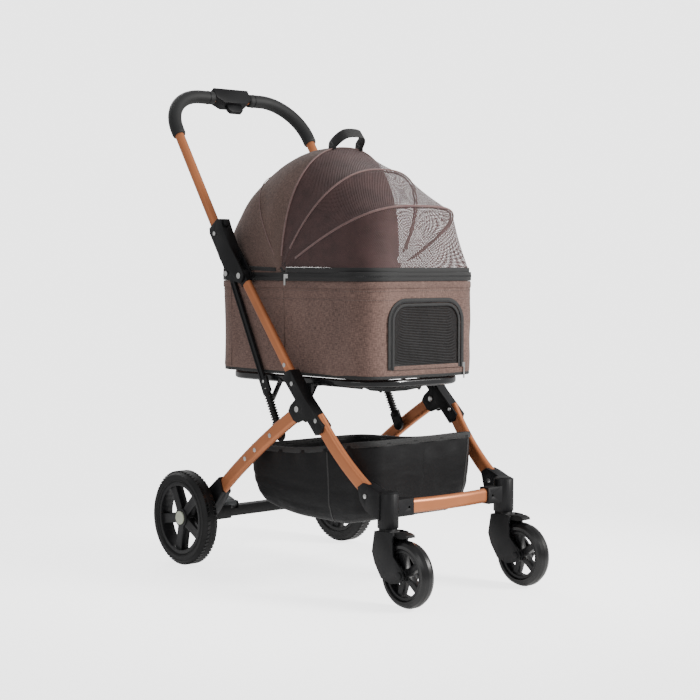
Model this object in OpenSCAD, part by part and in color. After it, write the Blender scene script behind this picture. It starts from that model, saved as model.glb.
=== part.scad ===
// Folding pet stroller with lift-off soft carrier, swivel front wheels and linked fold.
// Origin: floor level, middle of the footprint. +Z up, front faces -Y, _l parts at -X.

/* [Frame] */
// Distance from the middle plane to each side frame
side_x = 180; // [160:1:200]
// Thickness of the flat oval frame tubes, across the stroller
tube_t = 15; // [12:1:16]
// Depth of the upper leg tubes
leg_d = 22; // [18:1:26]
// Depth of the front leg and rear arm tubes
arm_d = 30; // [24:1:32]
// Wall thickness of the metal tubes
tube_w = 1.6; // [1:0.1:2.5]
// Slope of the upper legs from level
leg_slope = 50.8; // [45:0.1:56]

/* [Handle] */
// Length from the fold pivot to the handle bar
bar_reach = 483; // [440:1:520]
// Slope of the handle from level
bar_slope = 56.3; // [50:0.1:62]
// Diameter of the round handle tube
bar_dia = 20; // [16:1:22]
// Outside diameter of the foam grip
grip_dia = 29; // [25:1:34]
// Bend radius of the handle corners
bar_bend = 98; // [50:1:110]
// Set-back of the handle tube behind the fold pivot
bar_off = 21; // [18:0.5:24]

/* [Wheels] */
// Rear wheel diameter
rear_dia = 198; // [180:1:210]
// Rear tyre width
rear_wide = 36; // [28:1:40]
// Front wheel diameter
front_dia = 125; // [110:1:135]
// Front tyre width
front_wide = 29; // [24:1:32]
// Distance from the middle plane to each front wheel
caster_x = 155; // [145:1:165]
// Distance of the caster pivots in front of the middle
caster_y = 300; // [285:1:315]
// Trail of the front wheels
trail = 53; // [40:1:60]

/* [Carrier] */
// Half width of the soft carrier
bag_x = 155; // [145:1:157]
// Front of the carrier
bag_front = 240; // [220:1:250]
// Rear of the carrier
bag_rear = 250; // [230:1:260]
// Underside of the carrier above the floor
bag_z0 = 411; // [409:1:425]
// Top edge of the carrier walls above the floor
bag_z1 = 598; // [580:1:600]
// Corner radius of the carrier
bag_r = 60; // [40:1:80]
// Wall thickness of the padded fabric
bag_w = 4; // [3:0.5:6]

/* [Hidden] */
$fn = 48;
pa = [109, 608];                     // fold pivot, y and z
pb = [178, 612];                     // push rod pivot on the housing
pc = [13.5, 290.7];                  // lower end of the push rod
pd = [-77, 350];                     // rear arm pivot in the hub
u_leg = [-cos(leg_slope), -sin(leg_slope)];
leg_end = pa + 284 * u_leg;
leg_rivet = pa + 270 * u_leg;         // rivet through the hub and the upper leg
fl0 = [-128, 337];                   // front leg, upper end
fl1 = [-255, 208];                   // front leg, lower end
arm_end = [194, 159];
ax_r = [267, rear_dia / 2];          // rear axle
ax_f = [-caster_y - trail, front_dia / 2];
pin_r = 4;
fit = 0.05;
dome_y = 15;                         // canopy pivot
dome_z = 620;
dome_w = 157;
a_max = 74;                          // where the bows end
a_cloth = 84;                        // where the cloth ends
copper = [0.72, 0.42, 0.24];
black = [0.12, 0.12, 0.13];
rubber = [0.09, 0.09, 0.09];
steel = [0.75, 0.75, 0.74];
cloth = [0.36, 0.28, 0.25];
mesh = [0.30, 0.20, 0.20];

// ---------- helpers ----------

// Left part as drawn, right part mirrored
module side(s) {
  if (s < 0) children();
  else mirror([1, 0, 0]) children();
}

// Extrude a profile drawn in (y, z) from x0 to x1
module yz(x0, x1) {
  translate([x0, 0, 0]) rotate([90, 0, 90]) linear_extrude(x1 - x0) children();
}

// Round bar along X
module pin_x(x0, x1, p, r) {
  translate([x0, p[0], p[1]]) rotate([0, 90, 0]) cylinder(h = x1 - x0, r = r);
}

// Flat oval, thickness t by depth d
module stad(t, d) {
  square([t, d - t], center = true);
  translate([0, (d - t) / 2]) circle(d = t);
  translate([0, -(d - t) / 2]) circle(d = t);
}

module stad_ring(t, d, w) {
  difference() {
    stad(t, d);
    stad(t - 2 * w, d - 2 * w);
  }
}

// Sweep a section straight from p to q in the (y, z) plane at x
module along(x, p, q) {
  len = norm(q - p);
  translate([x, p[0], p[1]]) rotate([atan2(p[0] - q[0], q[1] - p[1]), 0, 0])
    linear_extrude(len) children();
}

// Sweep a section on an arc of radius r from p to q in the (y, z) plane at x = 0
module arc_yz(p, q, r) {
  c = norm(q - p);
  half = asin(c / 2 / r);
  m = (p + q) / 2;
  n = [-(q - p)[1], (q - p)[0]] / c;
  o = m + n * r * cos(half);
  a0 = atan2(p[1] - o[1], p[0] - o[0]);
  rotate([90, 0, 90]) translate([o[0], o[1], 0]) rotate([0, 0, a0])
    rotate_extrude(angle = 2 * half, $fn = 96) translate([r, 0]) rotate(90) children();
}

// ---------- side frames ----------

module upper_leg(s) {
  color(copper) side(s) difference() {
    along(-side_x, pa + 20 * u_leg, leg_end) stad_ring(tube_t, leg_d, tube_w);
    for (t = [225, 270]) pin_x(-side_x - 20, -side_x + 20, pa + t * u_leg, 2.5);
  }
}

module hinge_base(s) {
  color(black) side(s) difference() {
    union() {
      pin_x(-side_x - tube_t / 2, -side_x + tube_t / 2, pa, 12.5);
      along(-side_x, pa + 4 * u_leg, pa + 19.9 * u_leg) square([tube_t - 0.6, leg_d], center = true);
      along(-side_x, pa + 10 * u_leg, pa + 48 * u_leg)
        stad(tube_t - 2 * tube_w - 0.2, leg_d - 2 * tube_w - 0.2);
    }
    pin_x(-side_x - 20, -side_x + 20, pa, pin_r + fit);
  }
}

module front_leg_place() {
  c = (fl1 - fl0) / norm(fl1 - fl0);
  translate([-side_x, fl0[0], fl0[1]]) rotate(a = 4.7, v = [0, c[1], -c[0]])
    translate([0, -fl0[0], -fl0[1]]) children();
}

module front_leg(s) {
  color(copper) side(s) difference() {
    front_leg_place() arc_yz(fl1, fl0, 521) stad_ring(tube_t, arm_d, tube_w);
    pin_x(-side_x - 20, -side_x + 20, [-134.5, 331.5], 2.5);
  }
}

hub_body = [[-33.2, 408.2], [-41, 421], [-55, 425.8], [-101, 372], [-153, 323.5], [-149, 310],
  [-133, 303], [-104, 333], [-78, 323], [-66, 327], [-50, 345], [-56, 356], [-71, 368]];

module hub(s) {
  color(black) side(s) difference() {
    yz(-side_x - 12, -side_x + 12) polygon(hub_body);
    // room for the upper leg, the front leg and the rear arm tongue
    along(-side_x, leg_end, pa + 200 * u_leg) stad(tube_t + 0.2, leg_d + 0.2);
    front_leg_place() arc_yz(fl1, fl0, 521) stad(tube_t + 0.2, arm_d + 0.2);
    yz(-side_x - 8, -side_x + 8) difference() {
      translate(pd) rotate(-26) translate([-8, -60]) square([90, 100]);
      polygon([[-30, 440], [-72.5, 369], [-84, 357.6], [-110, 333], [-170, 290], [-170, 440]]);
    }
    pin_x(-side_x - 20, -side_x + 20, leg_rivet, 2.5);
    pin_x(-side_x - 20, -side_x + 20, [-134.5, 331.5], 2.5);
    pin_x(-side_x - 20, -side_x + 20, pd, pin_r);
  }
}

module caster_housing(s) {
  color(black) side(s) difference() {
    union() {
      translate([-caster_x, -caster_y, 143]) cylinder(h = 64, r = 20);
      translate([-caster_x, -caster_y, 207]) cylinder(h = 3, r1 = 18.5, r2 = 15);
      // knuckle that holds the front leg
      translate([-178, 0, 0]) yz(0, 26) polygon([[-300, 158], [-262, 172], [-247, 188],
        [-240, 214], [-254, 223], [-268, 219], [-300, 206]]);
      // socket that holds the crossbar
      translate([-150, -caster_y - 12, 162]) cube([50, 24, 32]);
    }
    translate([-caster_x, -caster_y, 140]) cylinder(h = 56, r = 7.5 + fit);
    translate([-caster_x, -caster_y, 190]) cylinder(h = 5, r = 9.5 + fit);
    front_leg_place() arc_yz(fl1, fl0, 521) stad(tube_t + 0.2, arm_d + 0.2);
    crossbar_shape(16.2, 28.2, 0);
    pin_x(-200, -150, [-262, 199], 2.5);
    pin_x(-152.5, -146, [-262, 199], 5);
    translate([-112, -caster_y - 30, 178]) rotate([-90, 0, 0]) cylinder(h = 60, r = 2.5);
  }
}

// Shallow forward bow between the two casters
module crossbar_shape(t, d, w) {
  r = 586;
  half = asin(118 / r);
  translate([0, -caster_y - 9 + r, 178]) rotate([0, 0, -90 - half])
    rotate_extrude(angle = 2 * half, $fn = 96) translate([r, 0]) {
      if (w > 0) stad_ring(t, d, w);
      else stad(t, d);
    }
}

module front_crossbar() {
  color(copper) difference() {
    crossbar_shape(16, 28, tube_w);
    for (x = [-112, 112]) translate([x, -caster_y - 30, 178]) rotate([-90, 0, 0])
      cylinder(h = 60, r = 2.5);
  }
}

module rivet_x(x0, x1, p, r) {
  pin_x(x0, x1, p, r);
  pin_x(x0 - 1.6, x0, p, r + 2);
  pin_x(x1, x1 + 1.6, p, r + 2);
}

module frame_rivets() {
  color(steel) for (s = [-1, 1]) side(s) {
    rivet_x(-side_x - 12, -side_x + 12, leg_rivet, 2.4);
    rivet_x(-side_x - 12, -side_x + 12, [-134.5, 331.5], 2.4);
    rivet_x(-side_x - 12, -side_x + 12, pd, pin_r - 0.02);
    rivet_x(-side_x - tube_t / 2, -side_x + tube_t / 2, pa + 225 * u_leg, 2.4);
    rivet_x(-178, -152.5, [-262, 199], 2.4);
  }
}

// ---------- seat ring ----------

// Half of the bent seat ring: the end at y0, with its sides as far as ym
module ring_end(x, y0, ym, r, z) {
  m = y0 < ym ? 0 : 1;
  for (sx = [-1, 1]) translate([sx * x, m ? ym : y0 + r, z]) rotate([-90, 0, 0])
    linear_extrude(abs(ym - y0) - r) children();
  translate([-x + r, y0, z]) rotate([90, 0, 90]) linear_extrude(2 * x - 2 * r) children();
  for (q = m ? [[x - r, 0], [-x + r, 90]] : [[-x + r, 180], [x - r, 270]])
    translate([q[0], m ? y0 - r : y0 + r, z]) rotate([0, 0, q[1]]) rotate_extrude(angle = 90)
      translate([r, 0]) children();
}

module seat_ring() {
  color(black) {
    ring_end(140, -228, 10, 95, 402) stad(11, 16);
    for (s = [-1, 1]) side(s) {
      // bracket from the hub
      translate([-168, -92, 394]) cube([28, 18, 6]);
      translate([-168, -92, 376]) cube([4, 18, 22]);
      // short hanger below the ring
      along(-146, [-82, 400], [-62, 372]) square([5, 9], center = true);
    }
  }
}

module seat_ring_rear() {
  color(black) {
    ring_end(140, 246, 10, 95, 402) stad(11, 16);
    for (s = [-1, 1]) side(s)
      along(-146, [30, 400], [58, 358]) square([5, 9], center = true);
  }
}

module ring_stays() {
  color(black) {
    // wires that run forward from the rear half of the ring
    difference() {
      for (s = [-1, 1]) side(s) hull() {
        translate([-140, 26, 397]) sphere(r = 1.8, $fn = 16);
        translate([-79, -150, 388]) sphere(r = 1.8, $fn = 16);
      }
      for (s = [-1, 1]) translate([s * 140, 60, 402]) rotate([90, 0, 0])
        linear_extrude(70) stad(11.2, 16.2);
      for (s = [-1, 1]) translate([s * 146 - 8, 0, 360]) cube([16, 60, 60]);
      translate([-120, -160, 370]) cube([240, 16.1, 40]);
    }
    // cross rib below the front of the carrier
    translate([0, -144, 0]) rotate([90, 0, 0]) linear_extrude(12)
      polygon([[-84, 392], [-60, 383], [-24, 379.5], [24, 379.5], [60, 383], [84, 392], [80, 398],
        [-80, 398]]);
  }
}

// ---------- basket ----------

basket_out = [[142, 252], [154, 205], [150, 160], [120, 134], [0, 122], [-150, 122], [-215, 140],
  [-238, 200], [-232, 290], [-97, 278], [0, 268]];
basket_in = [[140, 262], [151.5, 205], [147, 161.5], [118.5, 136.6], [0, 124.5], [-149.5, 124.5],
  [-213, 142], [-235.4, 200], [-229, 300]];

module basket() {
  color(black) difference() {
    yz(-150, 150) polygon(basket_out);
    yz(-147.6, 147.6) polygon(basket_in);
  }
}

// ---------- handle ----------

// Frame with +Y up the handle and +Z to the front, from the fold pivot
module hplane() {
  translate([0, pa[0], pa[1]]) rotate([bar_slope, 0, 0]) children();
}

// U shape from y0 up the sides, over the corners, to the middle, with a gap at the middle
module u_path(y0, gap) {
  x = side_x;
  yc = bar_reach - bar_bend;
  for (sx = [-1, 1]) translate([sx * x, y0, -bar_off]) rotate([-90, 0, 0])
    linear_extrude(yc - y0) children();
  translate([x - bar_bend, yc, -bar_off]) rotate_extrude(angle = 90, $fn = 72)
    translate([bar_bend, 0]) children();
  translate([-x + bar_bend, yc, -bar_off]) rotate([0, 0, 90]) rotate_extrude(angle = 90, $fn = 72)
    translate([bar_bend, 0]) children();
  for (sx = [0, 1]) mirror([sx, 0, 0]) translate([gap, bar_reach, -bar_off]) rotate([90, 0, 90])
    linear_extrude(x - bar_bend - gap) children();
}

module ring2(r1, r0) {
  difference() {
    circle(r = r1);
    circle(r = r0);
  }
}

module handle_tube() {
  color(copper) hplane() difference() {
    u_path(46, 0) ring2(bar_dia / 2, bar_dia / 2 - 1.5);
    for (x = [-side_x - 20, side_x - 20]) translate([x, 118, -bar_off]) rotate([0, 90, 0])
      cylinder(h = 40, r = 2.5);
  }
}

module handle_grip() {
  color(rubber) hplane() u_path(371, 47.2) ring2(grip_dia / 2, bar_dia / 2 + 0.05);
}

module handle_cover() {
  color(black) hplane() difference() {
    translate([0, 0, -bar_off - 13.5]) linear_extrude(27)
      polygon([[-47, bar_reach + 18], [47, bar_reach + 18], [47, bar_reach - 8],
        [30, bar_reach - 20], [-30, bar_reach - 20], [-47, bar_reach - 8]]);
    translate([-60, bar_reach, -bar_off]) rotate([0, 90, 0])
      cylinder(h = 120, r = bar_dia / 2 + 0.05);
    translate([-20.2, bar_reach - 25, -bar_off - 5.2]) cube([40.4, 20, 10.4]);
  }
}

module fold_trigger() {
  color(black) hplane() translate([0, 0, -bar_off - 5]) linear_extrude(10)
    polygon([[-20, bar_reach - 18], [20, bar_reach - 18], [20, bar_reach - 32],
      [15, bar_reach - 38], [-15, bar_reach - 38], [-20, bar_reach - 32]]);
}

// Profile drawn as (set-back behind the pivot, distance up the handle)
module hprofile(x0, x1) {
  hplane() translate([x1, 0, 0]) rotate([0, 90, 0]) mirror([0, 0, 1])
    linear_extrude(x1 - x0) children();
}

module fold_housing(s) {
  color(black) side(s) difference() {
    union() {
      hprofile(-side_x - 12, -side_x + 12)
        polygon([[-5, 38], [34, 38], [35, 128], [30, 137], [-2, 138], [-12, 132], [-9, 110]]);
      for (x = [-side_x - 12, -side_x + 8.2]) hprofile(x, x + 3.8) {
        polygon([[-14, 0], [14, 0], [35, 60], [35, 75], [-6, 75], [-12, 30]]);
        circle(r = 14);
      }
      // ear for the push rod
      hprofile(-side_x + 8.2, -side_x + 12)
        polygon([[8, -12], [35, 45], [35, 92], [52, 62], [64, 44], [62, 31], [52, 24], [20, -8]]);
    }
    hplane() translate([-side_x, 46, -bar_off]) rotate([-90, 0, 0])
      cylinder(h = 120, r = bar_dia / 2 + 0.05);
    hplane() translate([-side_x, 122, -6]) cylinder(h = 30, r = 7.5 + fit);
    hplane() translate([-side_x - 20, 118, -bar_off]) rotate([0, 90, 0]) cylinder(h = 40, r = 2.5);
    pin_x(-side_x - 20, -side_x + 20, pa, pin_r);
    pin_x(-side_x - 20, -side_x + 20, pb, pin_r);
  }
}

module handle_rivets() {
  color(steel) for (s = [-1, 1]) side(s) {
    rivet_x(-side_x - 12, -side_x + 12, pa, pin_r - 0.02);
    pin_x(-side_x + 5.6, -side_x + 21.6, pb, pin_r - 0.02);
    pin_x(-side_x + 5.2, -side_x + 8.2, pb, 5.5);
    pin_x(-side_x + 19.1, -side_x + 21.7, pb, 5.5);
    hplane() translate([-side_x, 118, -bar_off]) rotate([0, 90, 0]) translate([0, 0, -12])
      cylinder(h = 24, r = 2.4);
    hplane() translate([-side_x, 118, -bar_off]) rotate([0, 90, 0]) translate([0, 0, -13.4])
      cylinder(h = 1.4, r = 4.4);
  }
}

module lock_button(s) {
  color(rubber) side(s) hplane() {
    translate([-side_x, 122, -2]) cylinder(h = 17.5, r = 7.5);
  }
}

// ---------- push rods and springs ----------

rod_u = (pc - pb) / norm(pc - pb);

module push_rod(s) {
  x = -160.5;
  color(black) side(s) difference() {
    union() {
      pin_x(x - 2.6, x + 2.6, pb, 11);
      along(x, pb, pb + 262 * rod_u) square([5.2, 14], center = true);
      along(x, pb + 236 * rod_u, pb + 270 * rod_u) square([5.2, 24], center = true);
      along(x, pb + 262 * rod_u, pb + 274 * rod_u) circle(r = 7);
      along(x, pb + 270 * rod_u, pb + 340 * rod_u) circle(r = 2.5);
      // spring seat and foot that reaches the arm
      along(x, pb + 332.4 * rod_u, pb + 342 * rod_u) circle(r = 8);
      along(x, pb + 332.4 * rod_u, pb + 356 * rod_u) square([5.2, 26], center = true);
      pin_x(x - 2.6, x + 2.6, pc, 13);
      along(x, pb + 340 * rod_u, pc) square([5.2, 22], center = true);
    }
    pin_x(-170, -155, pb, pin_r + fit);
    pin_x(x - 0.7, -150, pb, 5.7);
  }
}

// Pleated rubber boot over the rod
module spring(s) {
  x = -160.5;
  color(rubber) side(s) union() {
    difference() {
      along(x, pb + 274.2 * rod_u, pb + 332.2 * rod_u) circle(r = 5.4, $fn = 32);
      along(x, pb + 274 * rod_u, pb + 333 * rod_u) circle(r = 2.6);
    }
    for (t = [275:6:329]) difference() {
      along(x, pb + t * rod_u, pb + (t + 2.4) * rod_u) circle(r = 9, $fn = 32);
      along(x, pb + (t - 1) * rod_u, pb + (t + 4) * rod_u) circle(r = 5);
    }
  }
}

// ---------- rear frame ----------

arm_u = (arm_end - pd) / norm(arm_end - pd);

module rear_arm(s) {
  color(copper) side(s) difference() {
    union() {
      translate([-side_x, 0, 0]) arc_yz(arm_end, pd + 19 * arm_u + [0, -1], 1700)
        stad_ring(tube_t, arm_d, tube_w);
      pin_x(-side_x - 6, -side_x + 6, pd, 7);
      along(-side_x, pd + arm_u, pd + 24 * arm_u) square([11, 12.4], center = true);
      along(-side_x, pd + 20 * arm_u, pd + 34 * arm_u + [0, 0.5]) stad(tube_t - 2 * tube_w + 1,
        arm_d - 2 * tube_w + 1);
    }
    pin_x(-side_x - 20, -side_x + 20, pd, pin_r + fit);
    for (p = [[13.5, 290.7], [63.1, 257.4], [95.9, 236.7]]) pin_x(-200, -160, p, 2.5);
  }
}

module rear_beam() {
  color(black) difference() {
    union() {
      // cross beam with thicker ends
      translate([-171, 238, 94]) cube([342, 24, 22]);
      for (s = [-1, 1]) side(s) {
        yz(-side_x - 12, -side_x + 12) polygon([[170, 160], [180, 191], [216, 165], [262, 126],
          [286, 108], [286, 90], [262, 82], [237, 89], [208, 115]]);
        yz(-170, -120) polygon([[235, 91], [235, 119], [263, 119], [265, 91]]);
        pin_x(-198.4, -150, ax_r, 12);
        pin_x(-224, -150, ax_r, 6);
      }
    }
    for (s = [-1, 1]) side(s) translate([-side_x, 0, 0])
      arc_yz(arm_end, pd + 19 * arm_u + [0, -1], 1700) stad(tube_t + 0.2, arm_d + 0.2);
    // pocket for the brake pedal
    translate([-141, 236, 110]) cube([42, 34, 20]);
  }
  color(black) {
    pin_x(-141.5, -98.5, [249, 119.5], 3);
    for (x = [-145, -98.9]) yz(x, x + 3.9) polygon([[242, 112], [242, 122], [245, 125.5],
      [253, 125.5], [256, 122], [256, 112]]);
  }
}

module rear_rivets() {
  color(steel) for (s = [-1, 1]) side(s)
    for (p = [[13.5, 290.7], [63.1, 257.4], [95.9, 236.7]])
      rivet_x(-side_x - tube_t / 2, -side_x + tube_t / 2, p, 2.4);
}

module brake_pedal() {
  color([0.35, 0.36, 0.36]) difference() {
    union() {
      pin_x(-140, -100, [249, 119.5], 7);
      yz(-140, -100) polygon([[246, 122], [250, 128], [292, 141], [300, 137], [298, 132],
        [256, 118]]);
    }
    pin_x(-150, -90, [249, 119.5], 3 + fit);
  }
}

// ---------- wheels ----------

module wheel_x(x, p) {
  translate([x, p[0], p[1]]) rotate([0, 90, 0]) children();
}

module rear_tyre(s) {
  r = rear_dia / 2;
  h = rear_wide / 2;
  color(rubber) side(s) wheel_x(-217, ax_r) rotate_extrude($fn = 96)
    polygon([[76, -h + 4], [79, -h], [r - 8, -h], [r - 2, -h + 7], [r, -h + 14], [r, h - 14],
      [r - 2, h - 7], [r - 8, h], [79, h], [76, h - 4]]);
}

module rear_rim(s) {
  color(black) side(s) wheel_x(-217, ax_r) difference() {
    union() {
      rotate_extrude($fn = 96) polygon([[68, -15], [75.95, -15], [75.95, 15], [68, 15]]);
      translate([0, 0, -12]) cylinder(h = 30, r = 20);
      for (i = [0:4]) rotate([0, 0, i * 72 + 10]) translate([18, -10, -9]) cube([52, 20, 18]);
    }
    translate([0, 0, -20]) cylinder(h = 60, r = 6 + fit);
  }
}

module hub_cap(s) {
  color([0.80, 0.82, 0.74]) side(s) translate([-229.2 - 2.6, ax_r[0], ax_r[1]])
    rotate([0, 90, 0]) cylinder(h = 2.6, r = 14);
}

module caster_fork(s) {
  color(black) side(s) {
    translate([-caster_x, -caster_y, 127]) cylinder(h = 15.5, r = 17.5);
    translate([-caster_x, -caster_y, 142]) cylinder(h = 53, r = 7.5);
    translate([-caster_x, -caster_y, 190.2]) cylinder(h = 4.6, r = 9.5);
    // bridge over the wheel, with its rear fender
    yz(-caster_x - 21, -caster_x + 21) polygon([[-285, 127.5], [-285, 137], [-300, 138],
      [-317, 138], [-321, 127.5]]);
    yz(-caster_x - 21, -caster_x + 21) polygon([[-285, 127.5], [-281, 102], [-286, 97],
      [-291, 107], [-293, 127.5]]);
    for (x = [-caster_x - 21, -caster_x + 16]) {
      yz(x, x + 5) polygon([[-285, 137], [-278, 98], [-285, 78], [-303, 52], [-330, 44],
        [-358, 50], [-366, 62], [-356, 77], [-336, 96], [-333, 126], [-334, 138], [-317, 139]]);
    }
    pin_x(-caster_x - 21, -caster_x + 21, ax_f, 4);
    pin_x(-caster_x - 24, -caster_x - 20.9, ax_f, 7);
    pin_x(-caster_x + 20.9, -caster_x + 24, ax_f, 7);
    pin_x(-caster_x - 16.5, -caster_x + 16.5, [-328, 133], 2.5);
  }
}

module caster_lock(s) {
  color(rubber) side(s) difference() {
    union() {
      pin_x(-caster_x - 15.5, -caster_x + 15.5, [-328, 133], 4.5);
      yz(-caster_x - 11, -caster_x + 11) polygon([[-328, 128.5], [-328, 137.5], [-350, 139],
        [-361, 136], [-362, 131], [-350, 128.5]]);
    }
    pin_x(-caster_x - 20, -caster_x + 20, [-328, 133], 2.55);
  }
}

module front_tyre(s) {
  r = front_dia / 2;
  h = front_wide / 2;
  color(rubber) side(s) wheel_x(-caster_x, ax_f) rotate_extrude($fn = 96)
    polygon([[47, -h + 3], [49, -h], [r - 8, -h], [r - 3, -h + 4], [r, -h + 11], [r, h - 11],
      [r - 3, h - 4], [r - 8, h], [49, h], [47, h - 3]]);
}

module front_rim(s) {
  color(black) side(s) wheel_x(-caster_x, ax_f) difference() {
    union() {
      rotate_extrude($fn = 96) polygon([[41, -11], [46.95, -11], [46.95, 11], [41, 11]]);
      translate([0, 0, -15]) cylinder(h = 30, r = 12);
      for (i = [0:4]) rotate([0, 0, i * 72 + 20]) translate([10, -6, -7]) cube([33, 12, 14]);
    }
    translate([0, 0, -20]) cylinder(h = 40, r = 4 + fit);
  }
}

// ---------- carrier ----------

module rrect(x, y0, y1, r) {
  translate([-x + r, y0]) square([2 * (x - r), y1 - y0]);
  translate([-x, y0 + r]) square([2 * x, y1 - y0 - 2 * r]);
  for (sx = [-1, 1]) for (y = [y0 + r, y1 - r]) translate([sx * (x - r), y]) circle(r = r, $fn = 64);
}

module door_shape(e) {
  translate([-90 - e, 428 - e]) square([180 + 2 * e, 92]);
  translate([-55 - e, 480]) square([110 + 2 * e, 76 + e]);
  for (sx = [-1, 1]) translate([sx * 55, 520]) circle(r = 36 + e);
}

module carrier_shell() {
  w = bag_w;
  color(cloth) difference() {
    translate([0, 0, bag_z0]) linear_extrude(bag_z1 - bag_z0)
      rrect(bag_x, -bag_front, bag_rear, bag_r);
    translate([0, 0, bag_z0 + w]) linear_extrude(bag_z1)
      rrect(bag_x - w, -bag_front + w, bag_rear - w, bag_r - w);
    translate([0, -bag_front + 20, 0]) rotate([90, 0, 0]) linear_extrude(40) door_shape(0.5);
  }
}

module carrier_floor() {
  color([0.30, 0.27, 0.26]) translate([0, 0, bag_z0 + bag_w + 0.2]) linear_extrude(14)
    rrect(bag_x - bag_w - 2, -bag_front + bag_w + 2, bag_rear - bag_w - 2, bag_r - bag_w - 2);
}

module carrier_rim() {
  color(black) translate([0, 0, bag_z1 + 0.2]) linear_extrude(18) difference() {
    rrect(bag_x + 1.5, -bag_front - 1.5, bag_rear + 1.5, bag_r + 1.5);
    rrect(bag_x - 5, -bag_front + 5, bag_rear - 5, bag_r - 5);
  }
}

module front_door() {
  color(mesh) translate([0, -bag_front + 3, 0]) rotate([90, 0, 0]) linear_extrude(3)
    door_shape(0);
}

module carry_strap() {
  color(black) translate([0, 0, 873.6]) rotate([50, 0, 0]) rotate([90, 0, 0])
    linear_extrude(24, center = true) difference() {
      polygon([[-40, 0], [-34, 26], [-24, 36], [24, 36], [34, 26], [40, 0]]);
      polygon([[-37, -1], [-31.3, 24.6], [-22.8, 33], [22.8, 33], [31.3, 24.6], [37, -1]]);
    }
}

// Canopy surface: radius and squareness of each arch by its angle from the front
function arch_r(f) = lookup(f, [[0, 255], [27, 272], [57, 237], [90, 250], [105, 252],
  [120, 251], [135, 250], [150, 247], [165, 242], [180, 235]]);
function arch_n(f) = lookup(f, [[0, 6], [27, 3.2], [57, 2.5], [90, 2.3], [120, 2.5], [150, 3.4],
  [165, 4.4], [180, 6]]);
function arch_p(f, a, e) = let (n = arch_n(f), r = arch_r(f) + e, w = dome_w + e,
    rho = pow(pow(abs(sin(a)) / w, n) + pow(abs(cos(a)) / r, n), -1 / n), h = rho * cos(a))
  [rho * sin(a), dome_y - h * cos(f), dome_z + h * sin(f)];
// Between two arches the cloth runs straight
function ruled(f0, f1, v, a, e) = arch_p(f0, a, e) * (1 - v) + arch_p(f1, a, e) * v;

// Closed plate between an outer and an inner grid of (na + 1) by (nv + 1) points
module plate(go, gi, na, nv) {
  k = nv + 1;
  m = (na + 1) * k;
  function id(i, j, o) = i * k + j + o * m;
  quads = concat(
    [for (i = [0:na - 1]) for (j = [0:nv - 1])
      [id(i, j, 0), id(i + 1, j, 0), id(i + 1, j + 1, 0), id(i, j + 1, 0)]],
    [for (i = [0:na - 1]) for (j = [0:nv - 1])
      [id(i, j + 1, 1), id(i + 1, j + 1, 1), id(i + 1, j, 1), id(i, j, 1)]],
    [for (i = [0:na - 1]) [id(i, 0, 1), id(i + 1, 0, 1), id(i + 1, 0, 0), id(i, 0, 0)]],
    [for (i = [0:na - 1]) [id(i, nv, 0), id(i + 1, nv, 0), id(i + 1, nv, 1), id(i, nv, 1)]],
    [for (j = [0:nv - 1]) [id(0, j, 0), id(0, j + 1, 0), id(0, j + 1, 1), id(0, j, 1)]],
    [for (j = [0:nv - 1]) [id(na, j, 1), id(na, j + 1, 1), id(na, j + 1, 0), id(na, j, 0)]]);
  tris = [for (q = quads) each [[q[0], q[1], q[2]], [q[0], q[2], q[3]]]];
  polyhedron(points = concat(go, gi), faces = [for (t = tris) [t[2], t[1], t[0]]]);
}

module gore(f0, f1, nv, curved) {
  na = 28;
  function pt(i, j, e) = let (a = -a_cloth + 2 * a_cloth * i / na, v = j / nv)
    curved ? arch_p(f0 + (f1 - f0) * v, a, e) : ruled(f0, f1, v, a, e);
  go = [for (i = [0:na]) for (j = [0:nv]) pt(i, j, 0)];
  gi = [for (i = [0:na]) for (j = [0:nv]) pt(i, j, -1.4)];
  plate(go, gi, na, nv);
}

// Round wire bow just inside the cloth
module bow(f, rb) {
  na = 28;
  nb = 10;
  pts = [for (i = [0:na]) let (a = -a_max + 2 * a_max * i / na, c = arch_p(f, a, -2.0 - rb))
    for (j = [0:nb - 1]) let (b = j * 360 / nb)
      c + rb * cos(b) * [sin(a), -cos(a) * cos(f), cos(a) * sin(f)]
        + rb * sin(b) * [0, sin(f), cos(f)]];
  sides = [for (i = [0:na - 1]) for (j = [0:nb - 1]) let (k = (j + 1) % nb)
    each [[i * nb + j, (i + 1) * nb + k, (i + 1) * nb + j], [i * nb + j, i * nb + k, (i + 1) * nb + k]]];
  polyhedron(points = pts, faces = concat(sides, [[for (j = [0:nb - 1]) nb - 1 - j]],
    [[for (j = [0:nb - 1]) na * nb + j]]));
}

module hood() { color(cloth) gore(86.1, 178.6, 8, true); }
module bow_mid() { color(black) bow(57, 1.8); }
module mesh_rear() { color(mesh) gore(57.15, 85.8, 3, false); }
module bow_front() { color(black) bow(27, 1.8); }
module mesh_mid() { color(mesh) gore(27.15, 56.85, 3, false); }
module canopy_rim() { color(black) bow(0, 2); }
module mesh_front() { color(mesh) gore(0.5, 26.85, 3, false); }

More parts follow.
